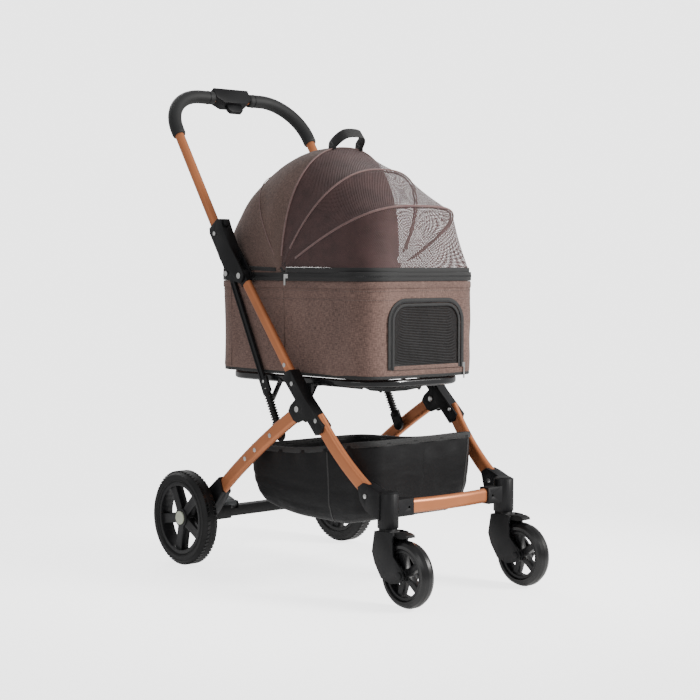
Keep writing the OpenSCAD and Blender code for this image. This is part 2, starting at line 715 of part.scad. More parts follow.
upper_leg(-1);  // upper_leg_l
upper_leg(1);  // upper_leg_r
hub(-1);  // hub_l
hub(1);  // hub_r
front_leg(-1);  // front_leg_l
front_leg(1);  // front_leg_r
caster_housing(-1);  // caster_housing_l
caster_housing(1);  // caster_housing_r
front_crossbar();
hinge_base(-1);  // hinge_base_l
hinge_base(1);  // hinge_base_r
seat_ring();
seat_ring_rear();
ring_stays();
frame_rivets();
basket();
handle_tube();
handle_grip();
handle_cover();
fold_housing(-1);  // fold_housing_l
fold_housing(1);  // fold_housing_r
handle_rivets();
fold_trigger();
lock_button(-1);  // lock_button_l
lock_button(1);  // lock_button_r
push_rod(-1);  // push_rod_l
push_rod(1);  // push_rod_r
spring(-1);  // spring_l
spring(1);  // spring_r
rear_arm(-1);  // rear_arm_l
rear_arm(1);  // rear_arm_r
rear_beam();
rear_rivets();
brake_pedal();
rear_tyre(-1);  // rear_tyre_l
rear_tyre(1);  // rear_tyre_r
rear_rim(-1);  // rear_rim_l
rear_rim(1);  // rear_rim_r
hub_cap(-1);  // hub_cap_l
hub_cap(1);  // hub_cap_r
caster_fork(-1);  // caster_fork_l
caster_fork(1);  // caster_fork_r
caster_lock(-1);  // caster_lock_l
caster_lock(1);  // caster_lock_r
front_tyre(-1);  // front_tyre_l
front_tyre(1);  // front_tyre_r
front_rim(-1);  // front_rim_l
front_rim(1);  // front_rim_r
carrier_shell();
carrier_floor();
carrier_rim();
hood();
carry_strap();
front_door();
bow_mid();
mesh_rear();
bow_front();
mesh_mid();
canopy_rim();
mesh_front();
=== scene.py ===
import math
import random

import bmesh
import bpy
import numpy as np
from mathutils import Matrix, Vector, noise


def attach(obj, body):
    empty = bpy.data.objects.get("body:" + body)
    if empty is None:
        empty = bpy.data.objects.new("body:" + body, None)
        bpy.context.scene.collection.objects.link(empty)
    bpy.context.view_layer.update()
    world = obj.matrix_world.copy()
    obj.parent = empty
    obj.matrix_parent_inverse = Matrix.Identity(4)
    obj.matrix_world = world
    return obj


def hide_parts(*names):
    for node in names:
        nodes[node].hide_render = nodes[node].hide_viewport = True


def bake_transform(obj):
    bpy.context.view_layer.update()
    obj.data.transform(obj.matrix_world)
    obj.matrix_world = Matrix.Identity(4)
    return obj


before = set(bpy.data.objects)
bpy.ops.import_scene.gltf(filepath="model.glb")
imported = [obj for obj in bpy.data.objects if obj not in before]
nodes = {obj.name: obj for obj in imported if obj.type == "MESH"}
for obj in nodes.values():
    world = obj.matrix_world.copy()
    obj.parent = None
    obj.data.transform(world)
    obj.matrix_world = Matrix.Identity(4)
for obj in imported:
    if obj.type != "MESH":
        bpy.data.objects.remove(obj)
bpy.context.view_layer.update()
random.seed(4)

# ------------------------------------------------------------------ small helpers


def link(nt, node, name, value):
    if isinstance(value, bpy.types.NodeSocket):
        nt.links.new(value, node.inputs[name])
    else:
        node.inputs[name].default_value = value


def nd(nt, kind, props=None, ins=None):
    n = nt.nodes.new(kind)
    for k, v in (props or {}).items():
        setattr(n, k, v)
    for k, v in (ins or {}).items():
        link(nt, n, k, v)
    return n


def mth(nt, op, a, b=0.0, c=0.0):
    n = nt.nodes.new("ShaderNodeMath")
    n.operation = op
    link(nt, n, 0, a)
    if len(n.inputs) > 1:
        link(nt, n, 1, b)
    if len(n.inputs) > 2:
        link(nt, n, 2, c)
    return n.outputs[0]


def ramp(nt, fac, stops):
    n = nt.nodes.new("ShaderNodeValToRGB")
    e = n.color_ramp.elements
    while len(e) < len(stops):
        e.new(0.5)
    for el, (p, c) in zip(e, stops):
        el.position = p
        el.color = (*c, 1) if len(c) == 3 else c
    nt.links.new(fac, n.inputs["Fac"])
    return n.outputs["Color"]


def new_mat(name, color, rough, metal=0.0, **extra):
    m = bpy.data.materials.new(name)
    m.use_nodes = True
    m.diffuse_color = (*color, 1)
    nt = m.node_tree
    p = nt.nodes["Principled BSDF"]
    p.inputs["Base Color"].default_value = (*color, 1)
    p.inputs["Roughness"].default_value = rough
    p.inputs["Metallic"].default_value = metal
    for k, v in extra.items():
        p.inputs[k.replace("_", " ")].default_value = v
    return m, nt, p


def bump(nt, p, height, strength, dist=0.001, normal=None):
    b = nd(nt, "ShaderNodeBump", None, {"Strength": strength, "Distance": dist, "Height": height})
    if normal is not None:
        nt.links.new(normal, b.inputs["Normal"])
    nt.links.new(b.outputs["Normal"], p.inputs["Normal"])
    return b.outputs["Normal"]


def coords(nt, kind="Object", scale=(1, 1, 1)):
    t = nt.nodes.new("ShaderNodeTexCoord")
    mp = nt.nodes.new("ShaderNodeMapping")
    mp.inputs["Scale"].default_value = scale
    nt.links.new(t.outputs[kind], mp.inputs["Vector"])
    return mp.outputs["Vector"]


def tex_noise(nt, vec, scale, detail=3.0, rough=0.55):
    n = nd(nt, "ShaderNodeTexNoise", None, {"Vector": vec, "Scale": scale, "Detail": detail, "Roughness": rough})
    return n.outputs["Fac"]


# ------------------------------------------------------------------ materials


def plastic(name, color, rough=0.45, grain=900, depth=0.10, **extra):
    m, nt, p = new_mat(name, color, rough, **extra)
    v = coords(nt)
    fine = tex_noise(nt, v, grain, 2)
    wide = tex_noise(nt, v, 28, 3)
    r = mth(nt, "MULTIPLY_ADD", wide, 0.16, rough - 0.08)
    nt.links.new(r, p.inputs["Roughness"])
    tone = [tuple(c * k for c in color) for k in (0.82, 1.25)]
    nt.links.new(ramp(nt, wide, [(0.3, tone[0]), (0.7, tone[1])]), p.inputs["Base Color"])
    bump(nt, p, fine, depth, 0.0006)
    return m


def anodised(name, color):
    m, nt, p = new_mat(name, color, 0.42, 0.60, Coat_Weight=0.10, Coat_Roughness=0.30)
    v = coords(nt, "Object", (1, 1, 1))
    grain = tex_noise(nt, v, 1600, 2)
    wide = tex_noise(nt, v, 9, 2)
    nt.links.new(mth(nt, "MULTIPLY_ADD", grain, 0.12, 0.36), p.inputs["Roughness"])
    tone = [tuple(min(1, c * k) for c in color) for k in (0.9, 1.08)]
    nt.links.new(ramp(nt, wide, [(0.35, tone[0]), (0.65, tone[1])]), p.inputs["Base Color"])
    bump(nt, p, grain, 0.05, 0.0004)
    return m


def fabric(name, dark, light, pitch=0.0016, sheen=0.25, depth=0.35, rough=0.9, spec=0.4):
    mid = tuple((a + b) / 2 for a, b in zip(dark, light))
    m, nt, p = new_mat(name, mid, rough, Sheen_Weight=sheen, Sheen_Roughness=0.5, Specular_IOR_Level=spec)
    uv = coords(nt, "UV")
    sep = nd(nt, "ShaderNodeSeparateXYZ", None, {"Vector": uv})
    wx = mth(nt, "SINE", mth(nt, "MULTIPLY", sep.outputs[0], 2 * math.pi / pitch))
    wy = mth(nt, "SINE", mth(nt, "MULTIPLY", sep.outputs[1], 2 * math.pi / pitch))
    weave = mth(nt, "MULTIPLY_ADD", mth(nt, "MULTIPLY", wx, wy), 0.5, 0.5)
    slub_a = tex_noise(nt, coords(nt, "UV", (110, 620, 1)), 1.0, 3, 0.7)
    slub_b = tex_noise(nt, coords(nt, "UV", (620, 110, 1)), 1.0, 3, 0.7)
    wide = tex_noise(nt, coords(nt, "UV", (9, 9, 1)), 1.0, 3)
    mix = mth(nt, "ADD", mth(nt, "MULTIPLY", slub_a, 0.45), mth(nt, "MULTIPLY", slub_b, 0.40))
    mix = mth(nt, "ADD", mix, mth(nt, "MULTIPLY", wide, 0.15))
    stops = [(0.34, dark), (0.5, mid), (0.66, light)]
    nt.links.new(ramp(nt, mix, stops), p.inputs["Base Color"])
    h = mth(nt, "ADD", mth(nt, "MULTIPLY", weave, 0.5), mth(nt, "MULTIPLY", slub_a, 0.6))
    n1 = bump(nt, p, h, depth, 0.0008)
    crease = tex_noise(nt, coords(nt, "UV", (14, 26, 1)), 1.0, 2)
    bump(nt, p, crease, 0.35, 0.006, n1)
    return m


def netting(name, thread, pitch=0.0042, hole=0.18, rough=0.7, square=False):
    m, nt, p = new_mat(name, thread, rough, Sheen_Weight=0.2)
    uv = coords(nt, "UV")
    sep = nd(nt, "ShaderNodeSeparateXYZ", None, {"Vector": uv})
    u, v = sep.outputs[0], sep.outputs[1]
    if square:
        a, b = u, v
    else:
        a, b = mth(nt, "ADD", u, v), mth(nt, "SUBTRACT", u, v)
    k = math.pi / pitch
    f = mth(nt, "MULTIPLY", mth(nt, "ABSOLUTE", mth(nt, "SINE", mth(nt, "MULTIPLY", a, k))),
            mth(nt, "ABSOLUTE", mth(nt, "SINE", mth(nt, "MULTIPLY", b, k))))
    open_ = mth(nt, "GREATER_THAN", f, hole)
    wide = tex_noise(nt, coords(nt, "UV", (30, 30, 1)), 1.0, 2)
    tones = [tuple(c * s for c in thread) for s in (0.75, 1.2)]
    nt.links.new(ramp(nt, wide, [(0.3, tones[0]), (0.7, tones[1])]), p.inputs["Base Color"])
    bump(nt, p, f, 0.5, 0.0006)
    nt.links.new(mth(nt, "SUBTRACT", 1.0, open_), p.inputs["Alpha"])
    return m


def webbing(name, color, pitch=0.0022):
    m, nt, p = new_mat(name, color, 0.62, Sheen_Weight=0.15)
    uv = coords(nt, "UV")
    sep = nd(nt, "ShaderNodeSeparateXYZ", None, {"Vector": uv})
    a = mth(nt, "ADD", sep.outputs[0], sep.outputs[1])
    b = mth(nt, "SUBTRACT", sep.outputs[0], sep.outputs[1])
    ws = mth(nt, "MULTIPLY", mth(nt, "SINE", mth(nt, "MULTIPLY", a, 2 * math.pi / pitch)),
             mth(nt, "SINE", mth(nt, "MULTIPLY", b, 2 * math.pi / pitch)))
    wide = tex_noise(nt, coords(nt, "UV", (60, 60, 1)), 1.0, 2)
    nt.links.new(ramp(nt, wide, [(0.3, tuple(c * 0.8 for c in color)), (0.7, tuple(c * 1.3 for c in color))]),
                 p.inputs["Base Color"])
    bump(nt, p, ws, 0.35, 0.0006)
    return m


M = {
    "tube": anodised("copper_tube", (0.58, 0.205, 0.085)),
    "black": plastic("black_plastic", (0.0065, 0.0065, 0.0075), 0.46, Specular_IOR_Level=0.32),
    "black_soft": plastic("soft_black", (0.006, 0.006, 0.0065), 0.6, 1400, 0.2, Specular_IOR_Level=0.35),
    "ring": plastic("gloss_black", (0.010, 0.010, 0.011), 0.22, 400, 0.03, Coat_Weight=0.5, Coat_Roughness=0.1),
    "grey": plastic("grey_plastic", (0.13, 0.14, 0.145), 0.5),
    "cap": plastic("pale_cap", (0.50, 0.53, 0.42), 0.35, 260, 0.25),
    "rim": plastic("wheel_black", (0.008, 0.008, 0.009), 0.38, Specular_IOR_Level=0.4),
    "tyre": plastic("tyre_rubber", (0.006, 0.006, 0.0065), 0.50, 700, 0.14, Specular_IOR_Level=0.35),
    "tyre_gloss": plastic("front_tyre_rubber", (0.006, 0.006, 0.0065), 0.28, 500, 0.05),
    "rivet": plastic("rivet_steel", (0.72, 0.72, 0.71), 0.26, 900, 0.04, Metallic=1.0),
    "foam": plastic("grip_foam", (0.006, 0.0065, 0.007), 0.66, 1800, 0.35, Sheen_Weight=0.08),
    "boot": plastic("boot_rubber", (0.010, 0.010, 0.0105), 0.42, 900, 0.1),
    "bag": fabric("bag_fabric", (0.030, 0.016, 0.013), (0.290, 0.180, 0.150), sheen=0.10),
    "hood": fabric("hood_fabric", (0.028, 0.016, 0.013), (0.230, 0.145, 0.120), sheen=0.10),
    "pad": fabric("pad_fabric", (0.030, 0.026, 0.024), (0.075, 0.064, 0.058), 0.003),
    "basket": fabric("basket_fabric", (0.0035, 0.0035, 0.004), (0.011, 0.011, 0.012), 0.0012, sheen=0.03, spec=0.2, depth=0.15,
                     rough=0.55),
    "trim": webbing("black_webbing", (0.006, 0.006, 0.0065)),
    "piping": fabric("seam_piping", (0.130, 0.074, 0.070), (0.270, 0.165, 0.155), 0.0012),
    "net": netting("brown_net", (0.088, 0.043, 0.041), 0.0040, 0.60),
    "net_black": netting("black_net", (0.012, 0.012, 0.013), 0.0030, 0.34, square=True),
    "zip": plastic("zip_teeth", (0.02, 0.02, 0.021), 0.3),
    "thread": plastic("stitch_thread", (0.20, 0.145, 0.13), 0.7),
}

# ------------------------------------------------------------------ mesh builders


def make(name, verts, faces, mat, uvs=None, smooth=True, close=False):
    me = bpy.data.meshes.new(name)
    me.from_pydata([tuple(map(float, v)) for v in verts], [], faces)
    if uvs is not None:
        layer = me.uv_layers.new(name="UVMap")
        for poly in me.polygons:
            for li, vi in zip(poly.loop_indices, poly.vertices):
                layer.data[li].uv = uvs[vi]
    me.materials.append(mat)
    if close:
        bm = bmesh.new()
        bm.from_mesh(me)
        bmesh.ops.recalc_face_normals(bm, faces=bm.faces)
        bm.to_mesh(me)
        bm.free()
    for poly in me.polygons:
        poly.use_smooth = smooth
    me.update()
    o = bpy.data.objects.new(name, me)
    bpy.context.scene.collection.objects.link(o)
    return o


def grid(name, pts, mat, wrap=False, uv=None, keep=None, flip=False):
    """pts is an (nu, nv, 3) array. wrap closes the first direction."""
    nu, nv = pts.shape[:2]
    if uv is None:
        du = np.linalg.norm(np.diff(pts, axis=0), axis=2).mean(axis=1)
        dv = np.linalg.norm(np.diff(pts, axis=1), axis=2).mean(axis=0)
        us, vs = np.concatenate([[0], np.cumsum(du)]), np.concatenate([[0], np.cumsum(dv)])
        uv = np.stack(np.meshgrid(us, vs, indexing="ij"), -1)
    faces = []
    for i in range(nu if wrap else nu - 1):
        k = (i + 1) % nu
        for j in range(nv - 1):
            q = [i * nv + j, k * nv + j, k * nv + j + 1, i * nv + j + 1]
            if keep is not None and not keep(pts.reshape(-1, 3)[q].mean(axis=0)):
                continue
            faces.append(q[::-1] if flip else q)
    return make(name, pts.reshape(-1, 3), faces, mat, uv.reshape(-1, 2))


def sweep(name, path, section, mat, closed=False, up=(0, 0, 1), caps=True, scale=None):
    """Sweeps a closed section of (side, up) points along a path."""
    path = np.asarray(path, float)
    n, k = len(path), len(section)
    t = np.gradient(path, axis=0)
    if closed:
        t = np.roll(path, -1, 0) - np.roll(path, 1, 0)
    t /= np.linalg.norm(t, axis=1)[:, None]
    b = np.cross(t, np.asarray(up, float) if np.ndim(up) == 1 else up)
    b /= np.linalg.norm(b, axis=1)[:, None]
    w = np.cross(b, t)
    sec = np.asarray(section, float)
    sc = np.ones(n) if scale is None else np.asarray(scale, float)
    verts = path[:, None] + sc[:, None, None] * (sec[None, :, 0, None] * b[:, None] + sec[None, :, 1, None] * w[:, None])
    seg = np.concatenate([[0], np.cumsum(np.linalg.norm(np.diff(path, axis=0), axis=1))])
    per = np.concatenate([[0], np.cumsum(np.linalg.norm(np.diff(sec, axis=0), axis=1))])
    uv = np.stack(np.meshgrid(seg, per, indexing="ij"), -1).reshape(-1, 2)
    faces = []
    for i in range(n if closed else n - 1):
        i2 = (i + 1) % n
        for j in range(k):
            j2 = (j + 1) % k
            faces.append([i * k + j, i * k + j2, i2 * k + j2, i2 * k + j])
    if caps and not closed:
        faces.append([j for j in range(k)][::-1])
        faces.append([(n - 1) * k + j for j in range(k)])
    return make(name, verts.reshape(-1, 3), faces, mat, uv, close=True)


def ring_section(r, k=10):
    return [(r * math.cos(2 * math.pi * i / k), r * math.sin(2 * math.pi * i / k)) for i in range(k)]


def flat_section(w, h, k=3):
    """A flat band w by h with rounded ends."""
    if w < h:
        return [(-y, x) for x, y in flat_section(h, w, k)]
    pts = []
    for s in (1, -1):
        for i in range(k + 1):
            a = -math.pi / 2 + math.pi * i / k
            pts.append((s * (w / 2 - h / 2 + h / 2 * math.cos(a)), s * h / 2 * math.sin(a)))
    return pts


def blocks(name, items, mat):
    """Small boxes: each item is (centre, x axis, y axis, z axis) with half lengths in the axes."""
    verts, faces = [], []
    for c, x, y, z in items:
        c, x, y, z = (np.asarray(q, float) for q in (c, x, y, z))
        b = len(verts)
        for sx in (-1, 1):
            for sy in (-1, 1):
                for sz in (-1, 1):
                    verts.append(c + sx * x + sy * y + sz * z)
        for f in ((0, 1, 3, 2), (4, 6, 7, 5), (0, 4, 5, 1), (2, 3, 7, 6), (0, 2, 6, 4), (1, 5, 7, 3)):
            faces.append([b + i for i in f])
    return make(name, verts, faces, mat, smooth=False, close=True)


def solid(o, t, offset=-1):
    m = o.modifiers.new("thick", "SOLIDIFY")
    m.thickness = t
    m.offset = offset
    return o


def wave(p, scale, seed=0.0):
    return noise.noise(Vector((p[0] * scale[0] + seed, p[1] * scale[1] + seed * 1.7, p[2] * scale[2] - seed)))


# ------------------------------------------------------------------ looks of the CAD nodes

look = {
    "upper_leg": "tube", "front_leg": "tube", "rear_arm": "tube", "front_crossbar": "tube", "handle_tube": "tube",
    "seat_ring": "ring", "frame_rivets": "rivet", "handle_rivets": "rivet", "rear_rivets": "rivet",
    "rear_tyre": "tyre", "front_tyre": "tyre_gloss", "rear_rim": "rim", "front_rim": "rim", "hub_cap": "cap",
    "brake_pedal": "grey", "caster_lock": "black_soft", "lock_button": "black_soft", "bow": "ring",
    "canopy_rim": "ring", "ring_stays": "ring",
}
for name, o in nodes.items():
    key = next((v for k, v in look.items() if name.startswith(k)), "black")
    o.data.materials.clear()
    o.data.materials.append(M[key])
    if key in ("black", "grey", "black_soft", "rivet", "rim"):
        w = o.modifiers.new("weld", "WELD")
        w.merge_threshold = 0.00002
        b = o.modifiers.new("edge", "BEVEL")
        b.width = 0.0006 if key == "rivet" else 0.0013
        b.segments = 2
        b.limit_method = "ANGLE"
        b.angle_limit = math.radians(38)
        b.harden_normals = True
        for poly in o.data.polygons:
            poly.use_smooth = True

# ------------------------------------------------------------------ carrier bag

BX, BY0, BY1, BR = 0.155, -0.240, 0.250, 0.060
BZ0, BZ1 = 0.411, 0.598


def outline(n, e=0.0, x=BX, y0=BY0, y1=BY1, r=BR):
    """n points round the bag, evenly spaced, from the middle of the front towards +X, with the outward normal."""
    x, y0, y1, r = x + e, y0 - e, y1 + e, r + e
    raw, nor = [], []

    def line(p, q, m):
        for i in range(40):
            raw.append([p[0] + (q[0] - p[0]) * i / 40, p[1] + (q[1] - p[1]) * i / 40])
            nor.append(m)

    def corner(cx, cy, a0):
        for i in range(40):
            a = math.radians(a0 + 90 * i / 40)
            raw.append([cx + r * math.cos(a), cy + r * math.sin(a)])
            nor.append([math.cos(a), math.sin(a)])

    line((0, y0), (x - r, y0), (0, -1))
    corner(x - r, y0 + r, -90)
    line((x, y0 + r), (x, y1 - r), (1, 0))
    corner(x - r, y1 - r, 0)
    line((x - r, y1), (-x + r, y1), (0, 1))
    corner(-x + r, y1 - r, 90)
    line((-x, y1 - r), (-x, y0 + r), (-1, 0))
    corner(-x + r, y0 + r, 180)
    line((-x + r, y0), (0, y0), (0, -1))
    raw, nor = np.array(raw), np.array(nor, float)
    d = np.linalg.norm(np.roll(raw, -1, 0) - raw, axis=1)
    s = np.concatenate([[0], np.cumsum(d)])
    t = np.arange(n) * s[-1] / n
    ext = np.vstack([raw, raw[:1]])
    exn = np.vstack([nor, nor[:1]])
    pts = np.stack([np.interp(t, s, ext[:, k]) for k in (0, 1)], -1)
    nn = np.stack([np.interp(t, s, exn[:, k]) for k in (0, 1)], -1)
    nn /= np.linalg.norm(nn, axis=1)[:, None]
    return pts, nn, t


def in_door(p, e=0.0):
    """True inside the door arch on the front wall."""
    x, y, z = p
    if y > -0.15 or z < 0.428 - e:
        return False
    x = abs(x)
    if z < 0.520:
        return x < 0.091 + e
    return x < 0.055 + e and z < 0.556 + e or math.hypot(x - 0.055, z - 0.520) < 0.036 + e


NU = 380
o2, n2, s2 = outline(NU)
rows = []
ts = np.linspace(0, 1, 46)
for t in ts:
    z = BZ0 + (BZ1 - BZ0) * t
    inset = 0.0
    if z < BZ0 + 0.012:
        inset = 0.012 - math.sqrt(max(0, 0.012 ** 2 - (BZ0 + 0.012 - z) ** 2))
    row = []
    for p, n, s in zip(o2, n2, s2):
        belly = math.sin(math.pi * t)
        front = max(0.0, -n[1])
        d = -0.0022 * belly * (1 - 0.6 * front) - inset
        d += 0.0024 * belly * wave((p[0], p[1], z), (9, 9, 5), 3.1)
        d += 0.0012 * wave((p[0], p[1], z), (38, 38, 14), 8.3) * min(1, 4 * t * (1 - t) + 0.15)
        # pulled folds that fan out from the two lower front corners
        q = math.hypot(abs(p[0]) - 0.150, p[1] + 0.185) + 0.4 * abs(z - BZ0)
        d += 0.0016 * math.exp(-q / 0.05) * math.sin(46 * (abs(p[0]) - p[1] + 2.0 * z))
        d = min(d, 0.0008 - inset)
        row.append([p[0] + n[0] * d, p[1] + n[1] * d, z])
    rows.append(row)
wall = np.array(rows).transpose(1, 0, 2)
under = []
for k in (1.0, 0.93, 0.75, 0.5, 0.25, 0.02):
    low = wall[:, 0].copy()
    c = np.array([0, 0.005, BZ0 + 0.0004])
    low = c + (low - c) * k
    low[:, 2] = BZ0 + 0.0004
    under.append(low)
wall = np.concatenate([np.stack(under[::-1], 1)[:, :-1], wall], axis=1)
vv = np.concatenate([[-0.2, -0.16, -0.1, -0.05, -0.01], ts * (BZ1 - BZ0)])
bag_uv = np.stack(np.meshgrid(s2, vv, indexing="ij"), -1)
bag = grid("bag_shell", wall, M["bag"], wrap=True, uv=bag_uv,
           keep=lambda c: not in_door(c, 0.0005) and np.ptp(c) >= 0)
solid(bag, 0.0032, -1)
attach(bag, "carrier")
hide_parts("carrier_shell")


def around(name, z, off, section, mat, n=NU, body="carrier"):
    p, nn, _ = outline(n, off)
    path = np.column_stack([p, np.full(len(p), z)])
    o = sweep(name, path, section, mat, closed=True)
    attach(o, body)
    return o


def stitch_row(name, z, off, gap=0.005, skip=None):
    n = int(1.5 / gap)
    p, nn, _ = outline(n, off)
    items = []
    for i in range(n):
        c = np.array([p[i][0], p[i][1], z])
        if skip is not None and skip(c):
            continue
        tan = np.array([-nn[i][1], nn[i][0], 0])
        items.append((c, tan * 0.0015, np.array([nn[i][0], nn[i][1], 0]) * 0.0005, (0, 0, 0.0004)))
    o = blocks(name, items, M["thread"])
    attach(o, "carrier")
    return o


welt = around("rim_welt", 0.5905, 0.0000, flat_section(0.0026, 0.012), M["bag"])
stitch_row("rim_stitch_a", 0.5800, 0.0004)
stitch_row("rim_stitch_b", 0.5630, 0.0000, skip=lambda c: in_door(c, 0.018))
hb, hn, _ = outline(NU, 0.0004)
hb = [p for p in np.roll(hb, -int(np.argmin(np.abs(hb[:, 1] - 0.017) + 9 * (hb[:, 0] < 0))), axis=0) if p[1] > 0.016]
skirt = sweep("hood_skirt", [(p[0], p[1], 0.6185) for p in hb], flat_section(0.0022, 0.0095), M["hood"])
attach(skirt, "carrier")
hem = around("base_hem", 0.4155, -0.0030, flat_section(0.0030, 0.0075), M["trim"])

# vertical seams, two on each side panel: one near the middle and one near the rear corner
for s in (-1, 1):
    for k, (y, mat) in enumerate(((0.010, "hood"), (0.185, "hood"))):
        path = [(s * (BX - 0.0015 * math.sin(math.pi * t)), y, BZ0 + 0.01 + (BZ1 - BZ0 - 0.02) * t)
                for t in np.linspace(0, 1, 24)]
        o = sweep(f"side_seam_{'lr'[s > 0]}{k}", path, flat_section(0.0024, 0.0010), M[mat], up=(s, 0, 0))
        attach(o, "carrier")

# zip round the top of the bag
tape = around("zip_tape", 0.6072, 0.0002, flat_section(0.0030, 0.0176), M["trim"])
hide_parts("carrier_rim")
p3, n3, _ = outline(430, 0.0012)
teeth = [(np.array([p[0], p[1], 0.6075 + 0.0009 * (i % 2)]), np.array([-n[1], n[0], 0]) * 0.0009,
          np.array([n[0], n[1], 0]) * 0.0009, (0, 0, 0.0017)) for i, (p, n) in enumerate(zip(p3, n3))]
teeth = blocks("zip_teeth_row", teeth, M["zip"])
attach(teeth, "carrier")
slider = blocks("zip_slider", [((-0.1566, 0.000, 0.6075), (0.0008, 0, 0), (0, 0.0065, 0), (0, 0, 0.0042)),
                               ((-0.1570, 0.004, 0.5980), (0.0005, 0, 0), (0, 0.0028, 0), (0, 0, 0.0085))], M["rivet"])
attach(slider, "carrier")

# ------------------------------------------------------------------ canopy

DY, DZ, DW = 0.015, 0.620, 0.157
AF = [0, 27, 57, 90, 105, 120, 135, 150, 165, 180]
AR = [0.255, 0.272, 0.237, 0.250, 0.252, 0.251, 0.250, 0.247, 0.242, 0.235]
NF = [0, 27, 57, 90, 120, 150, 165, 180]
NN = [6, 3.2, 2.5, 2.3, 2.5, 3.4, 4.4, 6]


def arch(f, a, e=0.0):
    """Point on the canopy at bow angle f and angle a from its top, e outside the cloth."""
    n, r, w = np.interp(f, NF, NN), np.interp(f, AF, AR) + e, DW + e
    sa, ca = abs(math.sin(a)), abs(math.cos(a))
    rho = ((sa / w) ** n + (ca / r) ** n) ** (-1 / n)
    h, g = rho * math.cos(a), math.radians(f)
    return np.array([rho * math.sin(a), DY - h * math.cos(g), DZ + h * math.sin(g)])


def arch_path(f, e=0.0, a_max=84, n=90):
    """Evenly spaced points along one bow."""
    raw = np.array([arch(f, math.radians(a), e) for a in np.linspace(-a_max, a_max, 400)])
    s = np.concatenate([[0], np.cumsum(np.linalg.norm(np.diff(raw, axis=0), axis=1))])
    t = np.linspace(0, s[-1], n)
    return np.stack([np.interp(t, s, raw[:, k]) for k in range(3)], -1)


def gore(name, f0, f1, mat, nv, sag, curved=False, rough=0.0):
    cols = []
    a0, a1 = arch_path(f0, a_max=88, n=120), arch_path(f1, a_max=88, n=120)
    for j in range(nv + 1):
        v = j / nv
        line = arch_path(f0 + (f1 - f0) * v, a_max=88, n=120) if curved else a0 * (1 - v) + a1 * v
        cen = np.array([0, DY, DZ])
        for i in range(len(line)):
            d = line[i] - cen
            d = d / np.linalg.norm(d)
            k = -sag * math.sin(math.pi * v) * math.sin(math.pi * i / (len(line) - 1)) ** 0.5
            if rough:
                k += rough * wave(line[i], (16, 16, 16), 1.3) * math.sin(math.pi * v)
            line[i] = line[i] + d * k
        cols.append(line)
    return grid(name, np.stack(cols, 1), mat)


hood = gore("hood_shell", 86.1, 178.6, M["hood"], 44, 0.0006, True, 0.0030)
solid(hood, 0.0012, -1)
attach(hood, "carrier")
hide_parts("hood")

net_rear = gore("net_rear", 57.0, 86.0, M["net"], 18, 0.0030)
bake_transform(net_rear)
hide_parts("mesh_rear")

net_mid = gore("net_mid", 27.0, 57.0, M["net"], 18, 0.0035)
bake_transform(net_mid)
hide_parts("mesh_mid")

net_front = gore("net_front", 0.6, 27.0, M["net"], 16, 0.0020)
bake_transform(net_front)
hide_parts("mesh_front")


def seam(name, f, e, sec, mat, body, a_max=84):
    path = arch_path(f, e, a_max, 120)
    cen = np.array([0, DY, DZ])
    o = sweep(name, path, sec, mat, up=path - cen)
    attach(o, body)
    return o


seam("seam_hood", 86.1, 0.0010, flat_section(0.0050, 0.0022), M["piping"], "carrier", 80)
seam("seam_mid", 57, 0.0008, flat_section(0.0046, 0.0022), M["piping"], "canopy_mid", 72)
seam("seam_front", 27, 0.0008, flat_section(0.0046, 0.0022), M["piping"], "canopy_front", 72)
seam("seam_rim", -0.1, 0.0008, flat_section(0.0100, 0.0022), M["trim"], "canopy_edge")
seam("seam_hood_back", 126, 0.0006, flat_section(0.0022, 0.0014), M["piping"], "carrier")
seam("hood_hem", 177.8, 0.0008, flat_section(0.0080, 0.0024), M["trim"], "carrier")

# pivot patches where the bows meet
for s in (-1, 1):
    path = [(s * (0.1548 + 0.0003 * k), DY, DZ - 0.0035 + 0.0 * k) for k in range(2)]
    o = blocks(f"bow_patch_{'lr'[s > 0]}", [((s * 0.1556, DY, DZ + 0.006), (0.0008, 0, 0), (0, 0.013, 0), (0, 0, 0.009))],
               M["trim"])
    o.modifiers.new("round", "BEVEL").width = 0.004
    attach(o, "carrier")

# carry strap on top of the hood
lean = math.radians(50)
prof = [(-0.036, -0.010), (-0.036, 0.0), (-0.034, 0.012), (-0.030, 0.024), (-0.023, 0.033), (-0.012, 0.036),
        (0.0, 0.0365), (0.012, 0.036), (0.023, 0.033), (0.030, 0.024), (0.034, 0.012), (0.036, 0.0), (0.036, -0.010)]
prof = np.array(prof)
ss = np.linspace(0, len(prof) - 1, 60)
prof = np.stack([np.interp(ss, range(len(prof)), prof[:, k]) for k in (0, 1)], -1)
for _ in range(3):
    prof[1:-1] = (prof[:-2] + 2 * prof[1:-1] + prof[2:]) / 4
path, ups = [], []
for x, v in prof:
    k = min(1, max(0, (v + 0.004) / 0.012))
    a = lean * k
    base = np.array([0, 0.0, 0.8705])
    path.append(base + np.array([x, -math.sin(lean) * max(v, 0) * 1.0, (math.cos(lean) * max(v, 0) + min(v, 0)) + 0.003]))
    ups.append(np.array([0, math.cos(a), math.sin(a)]))
t = np.gradient(np.array(path), axis=0)
w_dir = np.array(ups)
strap = sweep("carry_strap_web", path, [(p[1], p[0]) for p in flat_section(0.024, 0.0024)], M["trim"], up=w_dir)
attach(strap, "carrier")
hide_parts("carry_strap")

# ------------------------------------------------------------------ front door


